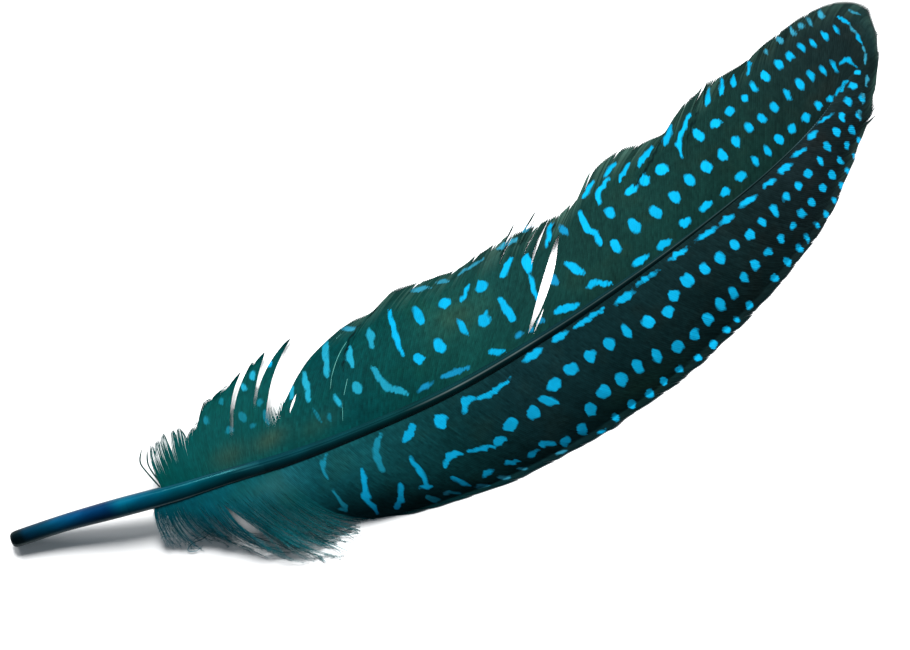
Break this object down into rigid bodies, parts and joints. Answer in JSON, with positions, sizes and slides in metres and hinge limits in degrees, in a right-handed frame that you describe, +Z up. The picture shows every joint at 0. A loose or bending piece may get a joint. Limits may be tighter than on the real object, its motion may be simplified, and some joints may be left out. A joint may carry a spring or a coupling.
{
  "type": "guinea fowl feather",
  "caption": "Single curved wing feather, dyed turquoise with rows of bright spots, lying flat with its domed side up: quill, shaft, two vanes, frayed tufts and down.",
  "frame": {"origin": "under the middle of the feather's overall box, on the surface that it lies on", "axes": "+X along the feather from the quill to the tip, +Y towards the side that the tip curves to, +Z up from the surface, out of the domed side"},
  "size_m": [0.1793, 0.0449, 0.0093],
  "materials": {
    "vane": "dyed dark teal barbs with bright cyan spots, soft satin sheen",
    "shaft": "glossy horn dyed blue to teal, blackened at its cut end and dark towards the tip",
    "down": "loose translucent downy barbs, pale teal"
  },
  "bodies": {
    "root": {"feather": "vane"}
  },
  "joints": []
}
